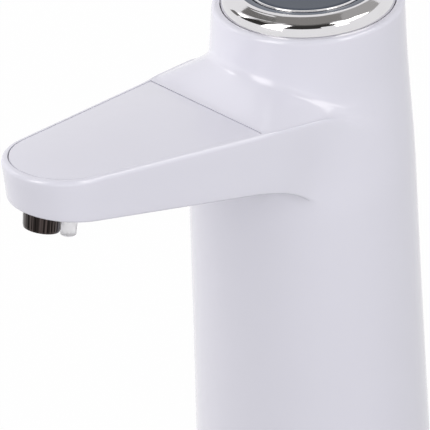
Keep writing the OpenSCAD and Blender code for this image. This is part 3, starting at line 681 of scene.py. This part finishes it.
class PUMP_OT_fittings(Operator):
    """Makes the neck seal, the suction spigot and the collar's screws"""

    bl_idname = "pump.fittings"
    bl_label = "Foot fittings"

    def execute(self, context):
        sizes = Sizes()
        top, low = sizes.neck_depth, sizes.neck_depth - 2
        inner, outer = sizes.neck_r - 6.5, sizes.neck_r + sizes.relief - 0.15
        ribs = [(inner, low)]
        for i in range(4):
            r = inner + 0.9 + i * 1.6
            ribs += [(r, low), (r + 0.35, low + 0.4), (r + 0.85, low + 0.4), (r + 1.2, low)]
        seal = turned("neck_seal_ring", ribs + [(outer, low), (outer, top), (inner, top)], soft=0.12)
        dress(seal, "silicone", "neck_seal")
        tip, flange = SPIGOT_LOW.z, COLLAR_H - 2
        barbs = [(1.4, tip), (3.3, tip)]
        for i in range(3):
            z = tip + i * 2.6
            barbs += [(4, z + 1.9), (4, z + 2.3), (3.5, z + 2.4)]
        outline = barbs + [(3.5, flange), (8, flange), (8, COLLAR_H), (3, COLLAR_H), (3, COLLAR_H + 2.5),
                           (2.25, COLLAR_H + 2.5), (2.25, SPIGOT_HIGH.z), (1.4, SPIGOT_HIGH.z)]
        spigot = turned("spigot", outline, Matrix.Translation((0, SPIGOT_Y * MM, 0)), 72, 0.12)
        dress(spigot, "light_plastic", "hose_tail")
        head = [(0, top - 1.8), (1.5, top - 1.8), (2.3, top - 1.35), (SCREW_HEAD_R, top - 0.7)]
        shank = [(SCREW_HEAD_R, top), (1.25, top), (1.25, COLLAR_H + 11), (0, COLLAR_H + 12)]
        first = turned("collar_screw_1", head + shank, None, 40, 0.1)
        for width, height in ((3, 0.56), (0.56, 3)):
            cut(first, prism("recess", box_outline(width, height), top - 3, top - 0.9))
        screws = [first] + [twin(first, f"collar_screw_{k}") for k in (2, 3)]
        for k, (screw, (x, y)) in enumerate(zip(screws, screw_places(sizes))):
            settle(screw, Matrix.Translation((x * MM, y * MM, 0)) @ Matrix.Rotation(k * 0.7, 4, "Z"))
            if k == 0:
                dress(screw, "steel", "collar_screws")
            else:
                dress(screw, "steel")
        return {"FINISHED"}


class PUMP_OT_ring(Operator):
    """Turns the bright ring on top of the body"""

    bl_idname = "pump.ring"
    bl_label = "Bright ring"

    def execute(self, context):
        sizes = Sizes()
        r, p, z, rise = sizes.ring_r, sizes.panel_r, sizes.body_h, sizes.rise
        top = z + rise
        low, mid, high = (Vector((r - x, z + y)) for x, y in ((0.7, 2.42), (1.05, 3.25), (1.9, 3.75)))
        shoulder = bow(low, mid, high, 11, 0.9)
        lip = bow(Vector((p + 2.3, top - 0.55)), Vector((p + 1.6, top)), Vector((p + 0.9, top)), 5, 0.9)
        outline = [(p, sizes.seat_z + 2.7), (r, sizes.seat_z + 2.7), (r, z), (r - 0.3, z + 1.2)]
        outline += [tuple(point) for point in shoulder + lip] + [(p + 0.25, top), (p, top - 0.6)]
        ring = turned("bright_ring", outline, ON_RING_AXIS, 192, 0.22)
        dress(ring, "bright", "top_bezel")
        return {"FINISHED"}


class PUMP_OT_panel(Operator):
    """Turns the dark panel between the ring and the button"""

    bl_idname = "pump.panel"
    bl_label = "Panel"

    def execute(self, context):
        sizes = Sizes()
        inner, outer, z = sizes.key_r, sizes.panel_r - 0.1, sizes.panel_z
        outline = [(inner, z - 3), (outer, z - 3), (outer, z), (inner, z)]
        panel = turned("panel", outline, ON_RING_AXIS, 160, 0.2)
        dress(panel, "panel", "panel_ring")
        return {"FINISHED"}


class PUMP_OT_button(Operator):
    """Turns the push button and its bright rim"""

    bl_idname = "pump.button"
    bl_label = "Push button"

    def execute(self, context):
        sizes = Sizes()
        r, z = sizes.key_r - 1.1, sizes.panel_z + 0.2
        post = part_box("button_cap")[0].z / MM
        shares = (0.97, 0.9, 0.8, 0.65, 0.5, 0.35, 0.2, 0.1, 0)
        dish = [(r * t, z - sizes.dish * (1 - t * t)) for t in shares]
        outline = [(0, post), (3, post), (3, z - 2.8), (r, z - 2.8), (r, z - 0.3)] + dish
        cap = turned("button", outline, ON_RING_AXIS, 160, 0.15)
        dress(cap, "button", "button_cap", body="button")
        ring = [(r, z - 2.8), (r + 0.7, z - 2.8), (r + 0.7, z - 0.05), (r + 0.6, z + 0.1),
                (r + 0.1, z + 0.1), (r, z - 0.05)]
        rim = turned("button_rim", ring, ON_RING_AXIS, 160)
        dress(rim, "bright", "button_trim", body="button")
        return {"FINISHED"}


class PUMP_OT_nozzle(Operator):
    """Turns the dark chrome nozzle with its recessed mouth"""

    bl_idname = "pump.nozzle"
    bl_label = "Nozzle"

    def execute(self, context):
        sizes = Sizes()
        r, low = sizes.nozzle_r, -sizes.nozzle_len
        place = sizes.under_frame(sizes.nozzle_s)
        skirt = [(0, -0.15), (r - 0.1, -0.15), (r, -0.3), (r, -0.9), (r - 0.05, -1.0), (r - 0.2, low + 0.7),
                 (r - 0.25, low + 0.6), (r - 0.4, low)]
        mouth = [(4.8, low), (4.6, low + 0.3), (4.6, low + 3), (0, low + 3)]
        nozzle = turned("nozzle", skirt + mouth, None, 120)

        def groove(face):
            x, y, z = face.center / MM
            turn = degrees(atan2(y, x))
            return low + 0.8 < z < -1.1 and hypot(x, y) > 5 and turn % 12 < 3

        pick(nozzle, "FACE", groove)
        bpy.ops.mesh.inset(thickness=0.06 * MM, depth=-0.22 * MM, use_individual=True)
        bpy.ops.object.mode_set(mode="OBJECT")
        pick(nozzle, "VERT", lambda vertex: vertex.co.z < (low + 0.9) * MM)
        bpy.ops.transform.rotate(value=radians(6), orient_axis="X", center_override=(0, 0, low * MM))
        bpy.ops.object.mode_set(mode="OBJECT")
        hole = prism("mouth", round_outline(2, 32, 0, sizes.feed), low - 1, 2)
        cut(nozzle, hole)
        high = sizes.wall + 3
        tube = [(2, -0.9), (2.9, -0.9), (2.9, high), (2, high)]
        stem = turned("nozzle_stem", tube, Matrix.Translation((0, sizes.feed * MM, 0)), 48)
        choose(nozzle)
        stem.select_set(True)
        bpy.ops.object.join()
        settle(nozzle, place)
        dress(nozzle, "dark_chrome", "outlet_nozzle")
        return {"FINISHED"}


class PUMP_OT_pipe(Operator):
    """Turns the clear pipe behind the nozzle"""

    bl_idname = "pump.pipe"
    bl_label = "Clear pipe"

    def execute(self, context):
        sizes = Sizes()
        r, low, wall = sizes.pipe_r, -sizes.pipe_len, sizes.wall
        tip = [(0, low), (r - 0.8, low), (r - 0.5, low + 0.2), (r - 0.42, low + 0.9)]
        flange = [(r, 0), (r, wall + 0.2), (r + 0.8, wall + 0.2), (r + 0.8, wall + 0.8), (0, wall + 0.8)]
        pipe = turned("clear_pipe", tip + flange, sizes.under_frame(sizes.pipe_s), 72, 0.15)
        dress(pipe, "clear", "light_pipe")
        return {"FINISHED"}


class PUMP_OT_socket(Operator):
    """Makes the charging socket's shell and its tongue"""

    bl_idname = "pump.socket"
    bl_label = "Charging socket"

    def execute(self, context):
        sizes = Sizes()
        inner, outer = (corner.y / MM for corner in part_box("usb_socket"))
        facing, deep = sizes.socket_frame(inner), outer - inner
        shell = prism("socket_shell", slot_outline(*SOCKET_SHELL), 0, deep)
        cut(shell, prism("socket_well", slot_outline(*SOCKET_WELL), 2, deep + 2))
        soften(shell, 0.08, 2, 60)
        settle(shell, facing)
        dress(shell, "steel", "usb_socket")
        tongue = prism("socket_tongue", box_outline(*SOCKET_TONGUE), 1.9, deep - 1)
        soften(tongue, 0.12, 2)
        settle(tongue, facing)
        dress(tongue, "dark_plastic")
        return {"FINISHED"}


def node_group(name, inputs, outputs):
    """A new shader group, with the sockets that it takes and those that it gives."""
    group = bpy.data.node_groups.new(name, "ShaderNodeTree")
    for label, kind, value in inputs:
        socket = group.interface.new_socket(name=label, in_out="INPUT", socket_type="NodeSocket" + kind)
        socket.default_value = value
    for label, kind in outputs:
        group.interface.new_socket(name=label, in_out="OUTPUT", socket_type="NodeSocket" + kind)
    return group, group.nodes.new("NodeGroupInput").outputs, group.nodes.new("NodeGroupOutput").inputs


def feed(tree, socket, value):
    """Links a socket to another one, or fills it with a constant."""
    if isinstance(value, NodeSocket):
        tree.links.new(value, socket)
    else:
        socket.default_value = value


def add(tree, kind, *values, **named):
    """A node's outputs. Its named settings and inputs and its first inputs are filled in or linked."""
    node = tree.nodes.new("ShaderNode" + kind)
    for key, value in named.items():
        if key in node.inputs:
            feed(tree, node.inputs[key], value)
        else:
            setattr(node, key, value)
    for socket, value in zip(node.inputs, values):
        feed(tree, socket, value)
    return node.outputs


def stretch(tree, source, low, high, out_low, out_high):
    """Maps a value from one range to another."""
    return add(tree, "MapRange", source, low, high, out_low, out_high)["Result"]


def reckon(tree, first, operation, second):
    """A sum, difference, product or the greater of two values."""
    return add(tree, "Math", first, second, operation=operation)[0]


def moulded_skin():
    """Moulded plastic or rubber: fine grain, soft clouds of colour and gloss."""
    group, given, result = node_group(
        "Moulded skin",
        [("Colour", "Color", (0.8, 0.8, 0.8, 1)), ("Drift", "Float", 0.03), ("Grain", "Float", 900.0),
         ("Clouds", "Float", 22.0), ("Roughness", "Float", 0.3), ("Spread", "Float", 0.05)],
        [("Colour", "Color"), ("Roughness", "Float"), ("Height", "Float")])
    place = add(group, "TexCoord")["Object"]
    grain = add(group, "TexNoise", Vector=place, Scale=given["Grain"], Detail=3.0, Roughness=0.55)["Fac"]
    clouds = add(group, "TexNoise", Vector=place, Scale=given["Clouds"], Detail=4.0, Roughness=0.6)["Fac"]
    darker = reckon(group, 1.0, "SUBTRACT", given["Drift"])
    shade = stretch(group, clouds, 0.3, 0.7, darker, 1.0)
    smooth = reckon(group, given["Roughness"], "SUBTRACT", given["Spread"])
    rough = reckon(group, given["Roughness"], "ADD", given["Spread"])
    colour = add(group, "VectorMath", given["Colour"], operation="SCALE", Scale=shade)[0]
    feed(group, result["Colour"], colour)
    feed(group, result["Roughness"], stretch(group, clouds, 0.3, 0.7, smooth, rough))
    feed(group, result["Height"], grain)
    return group


def wiped_marks():
    """Faint marks of wiping and handling, added to a roughness."""
    group, given, result = node_group(
        "Wiped marks",
        [("Roughness", "Float", 0.2), ("Amount", "Float", 0.06), ("Scale", "Float", 40.0)],
        [("Roughness", "Float")])
    place = add(group, "TexCoord")["Object"]
    turn = add(group, "Mapping", Vector=place, Rotation=(0.5, 0.2, 0.7), Scale=(1.0, 6.0, 1.5))["Vector"]
    marks = add(group, "TexNoise", Vector=turn, Scale=given["Scale"], Detail=5.0, Roughness=0.65,
                Distortion=0.6)["Fac"]
    mask = stretch(group, marks, 0.5, 0.75, 0.0, given["Amount"])
    feed(group, result["Roughness"], reckon(group, given["Roughness"], "ADD", mask))
    return group


def turned_lines():
    """Fine lines that run round an upright axis, as a polishing wheel leaves them."""
    group, given, result = node_group(
        "Turned lines",
        [("Centre", "Vector", (0, 0, 0)), ("Lines", "Float", 2500.0), ("Roughness", "Float", 0.08),
         ("Spread", "Float", 0.04)],
        [("Roughness", "Float"), ("Height", "Float")])
    place = add(group, "TexCoord")["Object"]
    offset = add(group, "VectorMath", place, given["Centre"], operation="SUBTRACT")[0]
    parts = add(group, "SeparateXYZ", offset)
    flat = add(group, "CombineXYZ", parts["X"], parts["Y"])[0]
    radius = add(group, "VectorMath", flat, operation="LENGTH")["Value"]
    line = add(group, "CombineXYZ", X=radius, Z=parts["Z"])[0]
    noise = add(group, "TexNoise", Vector=line, Scale=given["Lines"], Detail=2.0)["Fac"]
    low = reckon(group, given["Roughness"], "SUBTRACT", given["Spread"])
    high = reckon(group, given["Roughness"], "ADD", given["Spread"])
    feed(group, result["Roughness"], stretch(group, noise, 0.35, 0.65, low, high))
    feed(group, result["Height"], noise)
    return group


def new_material(name):
    """A new material, its node tree and the inputs of its shader."""
    material = bpy.data.materials.new(name)
    material.use_nodes = True
    return material, material.node_tree, material.node_tree.nodes["Principled BSDF"].inputs


def plastic(slot, groups, colour, roughness, spread=0.05, drift=0.04, grain=900.0, depth=0.02, marks=0.0,
            **sockets):
    """A moulded material. Its sockets hold what is the same all over."""
    material, tree, shader = new_material(finish_name(slot))
    skin = add(tree, "Group", node_tree=groups["skin"], Colour=(*colour, 1), Roughness=roughness,
               Spread=spread, Drift=drift, Grain=grain)
    gloss = skin["Roughness"]
    if marks:
        gloss = add(tree, "Group", node_tree=groups["marks"], Roughness=gloss, Amount=marks)["Roughness"]
    feed(tree, shader["Base Color"], skin["Colour"])
    feed(tree, shader["Roughness"], gloss)
    relief = add(tree, "Bump", Strength=0.3, Distance=depth * MM, Height=skin["Height"])["Normal"]
    feed(tree, shader["Normal"], relief)
    for key, value in sockets.items():
        shader[key.replace("_", " ")].default_value = value
    return material


def metal(slot, groups, colour, roughness, spread=0.04, lines=2500.0, depth=0.004, centre=(0, 0, 0),
          marks=0.05, drift=0.06):
    """A metal with fine turned lines and faint handling marks."""
    material, tree, shader = new_material(finish_name(slot))
    polish = add(tree, "Group", node_tree=groups["lines"], Roughness=roughness, Spread=spread, Lines=lines,
                 Centre=centre)
    wiped = add(tree, "Group", node_tree=groups["marks"], Roughness=polish["Roughness"], Amount=marks)
    skin = add(tree, "Group", node_tree=groups["skin"], Colour=(*colour, 1), Drift=drift, Clouds=60.0)
    feed(tree, shader["Base Color"], skin["Colour"])
    feed(tree, shader["Roughness"], wiped["Roughness"])
    shader["Metallic"].default_value = 1.0
    relief = add(tree, "Bump", Strength=0.15, Distance=depth * MM, Height=polish["Height"])["Normal"]
    feed(tree, shader["Normal"], relief)
    return material


def painted_reflection_streaks(material, sizes, dark, light):
    """Painted reflections: lighter streaks painted into the nozzle's base colour along its skirt, in place of
    the reflections that its flutes catch.
    """
    tree = material.node_tree
    nozzle = sizes.under_frame(sizes.nozzle_s).inverted()
    place = add(tree, "TexCoord")["Object"]
    turn = add(tree, "Mapping", Vector=place, Location=nozzle.translation, Rotation=nozzle.to_euler())[0]
    flat = add(tree, "VectorMath", turn, (1, 1, 0), operation="MULTIPLY")[0]
    round_it = add(tree, "VectorMath", flat, operation="NORMALIZE")[0]
    noise = add(tree, "TexNoise", Vector=round_it, Scale=5.5, Detail=3.0, Roughness=0.7)["Fac"]
    # Share of the painted reflection streaks, by direction round the nozzle's axis
    share = stretch(tree, noise, 0.47, 0.8, 0.0, 1.0)
    colour = add(tree, "Mix", data_type="RGBA", Factor=share, A=(*dark, 1), B=(*light, 1))["Result"]
    feed(tree, tree.nodes["Principled BSDF"].inputs["Base Color"], colour)


class PUMP_OT_finishes(Operator):
    """Builds the materials and puts them on the frame's own pieces"""

    bl_idname = "pump.finishes"
    bl_label = "Finishes"

    def execute(self, context):
        c = context.scene.pump_finish
        groups = {"skin": moulded_skin(), "marks": wiped_marks(), "lines": turned_lines()}
        ring = (0, RING_Y * MM, 0)
        plastic("white_plastic", groups, c.shell, 0.17, 0.03, 0.02, 1400.0, 0.012, 0.05)
        plastic("inner_plastic", groups, c.inner, 0.45)
        plastic("pump_plastic", groups, c.pump, 0.5)
        plastic("light_plastic", groups, c.light, 0.42)
        plastic("dark_plastic", groups, c.dark, 0.5)
        plastic("panel", groups, c.panel, 0.16, 0.04, 0.08, 1600.0, 0.01, 0.06)
        plastic("button", groups, c.button, 0.2, 0.05, 0.1, 1600.0, 0.012, 0.08,
                Specular_IOR_Level=0.25)
        metal("bright", groups, c.bright, 0.07, centre=ring)
        chrome = metal("dark_chrome", groups, c.nozzle, 0.09, lines=1800.0)
        plastic("clear", groups, c.clear, 0.4, 0.05, 0.02, 700.0, 0.02,
                Transmission_Weight=0.6, IOR=1.47)
        plastic("silicone", groups, c.silicone, 0.4, grain=500.0, Subsurface_Weight=0.3)
        plastic("rubber", groups, c.rubber, 0.62, grain=1200.0, depth=0.04)
        plastic("valve_rubber", groups, c.valve, 0.55, grain=1200.0)
        metal("steel", groups, c.steel, 0.3, 0.08)
        metal("magnet", groups, c.magnet, 0.5, 0.1, 1500.0, 0.02, drift=0.2)
        metal("bronze", groups, c.bronze, 0.38, 0.08, drift=0.15)
        metal("copper", groups, c.copper, 0.3, 0.08, 5000.0, 0.02, drift=0.15)
        plastic("cell_wrap", groups, c.wrap, 0.25, marks=0.1)
        plastic("board", groups, c.board, 0.35, 0.08, 0.2, 1500.0, 0.05)
        plastic("red_wire", groups, c.red, 0.4)
        plastic("black_wire", groups, c.black, 0.4)
        # Paints lighter reflection streaks into the nozzle's base colour
        painted_reflection_streaks(chrome, Sizes(), c.nozzle, c.painted_reflection_streaks)
        for part in frame["record"]["subparts"]:
            for slot in frame["nodes"][part["node"]].material_slots:
                slot.material = bpy.data.materials[finish_name(part["material_slot"])]
        return {"FINISHED"}


def direct_view(tree):
    """One for what the camera, polished surfaces and glass see, nought for soft light."""
    path = add(tree, "LightPath")
    seen = reckon(tree, path["Is Camera Ray"], "MAXIMUM", path["Is Glossy Ray"])
    return reckon(tree, seen, "MAXIMUM", path["Is Transmission Ray"])


def studio_white(name, colour, strength, share):
    """A pale surface that looks white but keeps shadows, and is clear from below."""
    material, tree, shader = new_material(name)
    shader["Base Color"].default_value = (*colour, 1)
    shader["Roughness"].default_value = 0.9
    shader["Specular IOR Level"].default_value = 0.1
    plain = tree.nodes["Principled BSDF"].outputs[0]
    glow = add(tree, "Emission", Color=(1, 1, 1, 1), Strength=strength)[0]
    white = add(tree, "MixShader", reckon(tree, direct_view(tree), "MULTIPLY", share), plain, glow)[0]
    below, clear = add(tree, "NewGeometry")["Backfacing"], add(tree, "BsdfTransparent")[0]
    surface = add(tree, "MixShader", below, white, clear)[0]
    feed(tree, tree.nodes["Material Output"].inputs["Surface"], surface)
    return material


class PUMP_OT_stage(Operator):
    """Sets the floor, the soft lights and the camera"""

    bl_idname = "pump.stage"
    bl_label = "Stage"

    def floor(self, scene):
        """A wide pale floor just below the foot."""
        deselect()
        bpy.ops.mesh.primitive_circle_add(vertices=96, radius=4, fill_type="NGON", location=(0, 0, -0.2 * MM))
        floor = bpy.context.object
        floor.name = "floor"
        floor.data.materials.append(studio_white("Studio floor", scene.pump_finish.floor, 1.03, 0.95))

    def surroundings(self, scene):
        """White surroundings that are dimmer for soft light than they look."""
        scene.world = bpy.data.worlds.new("Studio")
        scene.world.use_nodes = True
        tree = scene.world.node_tree
        back = tree.nodes["Background"].inputs
        back["Color"].default_value = (1.0, 0.995, 1.0, 1)
        feed(tree, back["Strength"], stretch(tree, direct_view(tree), 0.0, 1.0, SOFT_LIGHT, SEEN_LIGHT))

    def lamp(self, scene, name, place, power, colour):
        """A round soft light that polished surfaces don't see."""
        data = bpy.data.lights.new(name, "AREA")
        data.shape, data.size, data.energy, data.color = "DISK", LAMP_SIZE, power, colour
        lamp = bpy.data.objects.new(name, data)
        scene.collection.objects.link(lamp)
        lamp.location = place
        lamp.visible_glossy = False
        lamp.rotation_euler = (LAMP_TARGET - Vector(place)).to_track_quat("-Z", "Y").to_euler()

    def card(self, name, reach, glow, left, right, low, high, shade):
        """A part of the dome that only polished surfaces see."""
        deselect()
        bpy.ops.mesh.primitive_grid_add(x_subdivisions=32, y_subdivisions=16, size=2)
        card = bpy.context.object
        card.name = card.data.name = name
        for vertex in card.data.vertices:
            x, y = (vertex.co.x + 1) / 2, (vertex.co.y + 1) / 2
            bearing = radians(left + (right - left) * x + CAMERA_TURN - 90)
            height = radians(low + (high - low) * y)
            flat = reach * cos(height)
            vertex.co = flat * cos(bearing), flat * sin(bearing), reach * sin(height)
        settle(card, Matrix.Translation(DOME_CENTRE))
        material, tree, shader = new_material(name)
        shader["Base Color"].default_value = (0, 0, 0, 1)
        shader["Specular IOR Level"].default_value = 0
        shader["Emission Color"].default_value = (*shade, 1)
        shader["Emission Strength"].default_value = glow
        card.data.materials.append(material)
        card.visible_camera = card.visible_diffuse = card.visible_shadow = card.visible_transmission = False

    def camera(self, scene):
        """The photograph's camera."""
        data = bpy.data.cameras.new("Photo camera")
        data.sensor_width = SENSOR
        data.lens = FOCAL_PIXELS / PICTURE_PIXELS * SENSOR
        data.clip_end = 50
        camera = bpy.data.objects.new("Photo camera", data)
        scene.collection.objects.link(camera)
        turn, lift, roll = (radians(d) for d in (CAMERA_TURN, CAMERA_LIFT, CAMERA_ROLL))
        flat = cos(lift)
        behind = Vector((sin(turn) * flat, -cos(turn) * flat, sin(lift)))
        right = Vector((cos(turn), sin(turn), 0))
        over = behind.cross(right)
        side = right * cos(roll) + over * sin(roll)
        high = over * cos(roll) - right * sin(roll)
        facing = Matrix((side, high, behind)).transposed().to_4x4()
        camera.matrix_world = Matrix.Translation(CAMERA_TARGET + behind * CAMERA_REACH) @ facing
        scene.camera = camera

    def execute(self, context):
        scene = context.scene
        self.floor(scene)
        self.surroundings(scene)
        for name, lamp in LAMPS.items():
            self.lamp(scene, name, *lamp)
        for name, card in CARDS.items():
            self.card(name, CARD_REACH, CARD_GLOW, *card)
        for name, pane in PANES.items():
            self.card(name, PANE_REACH, PANE_GLOW, *pane)
        self.camera(scene)
        scene.view_settings.view_transform = "Standard"
        return {"FINISHED"}


OPERATORS = (PUMP_OT_finishes, PUMP_OT_body, PUMP_OT_cover, PUMP_OT_collar, PUMP_OT_fittings, PUMP_OT_ring,
             PUMP_OT_panel, PUMP_OT_button, PUMP_OT_nozzle, PUMP_OT_pipe, PUMP_OT_socket, PUMP_OT_stage)


class PUMP_PT_panel(Panel):
    """Lists the steps that dress the pump, and the sizes and colours that they use"""

    bl_idname = "PUMP_PT_panel"
    bl_label = "Water bottle pump"
    bl_space_type = "VIEW_3D"
    bl_region_type = "UI"
    bl_category = "Pump"

    def draw(self, context):
        for operator in OPERATORS:
            self.layout.operator(operator.bl_idname)
        for name, kind in GROUPS:
            box = self.layout.box()
            for key in kind.__annotations__:
                box.prop(getattr(context.scene, name), key)


CLASSES = tuple(kind for name, kind in GROUPS) + OPERATORS + (PUMP_PT_panel,)


def register():
    for cls in CLASSES:
        bpy.utils.register_class(cls)
    for name, kind in GROUPS:
        setattr(bpy.types.Scene, name, PointerProperty(type=kind))


def unregister():
    for name, kind in GROUPS:
        delattr(bpy.types.Scene, name)
    for cls in reversed(CLASSES):
        bpy.utils.unregister_class(cls)


def main():
    register()
    bpy.ops.pump.finishes()
    bpy.ops.pump.body()
    bpy.ops.pump.cover()
    bpy.ops.pump.collar()
    bpy.ops.pump.fittings()
    bpy.ops.pump.ring()
    bpy.ops.pump.panel()
    bpy.ops.pump.button()
    bpy.ops.pump.nozzle()
    bpy.ops.pump.pipe()
    bpy.ops.pump.socket()
    bpy.ops.pump.stage()


if __name__ == "__main__":
    main()
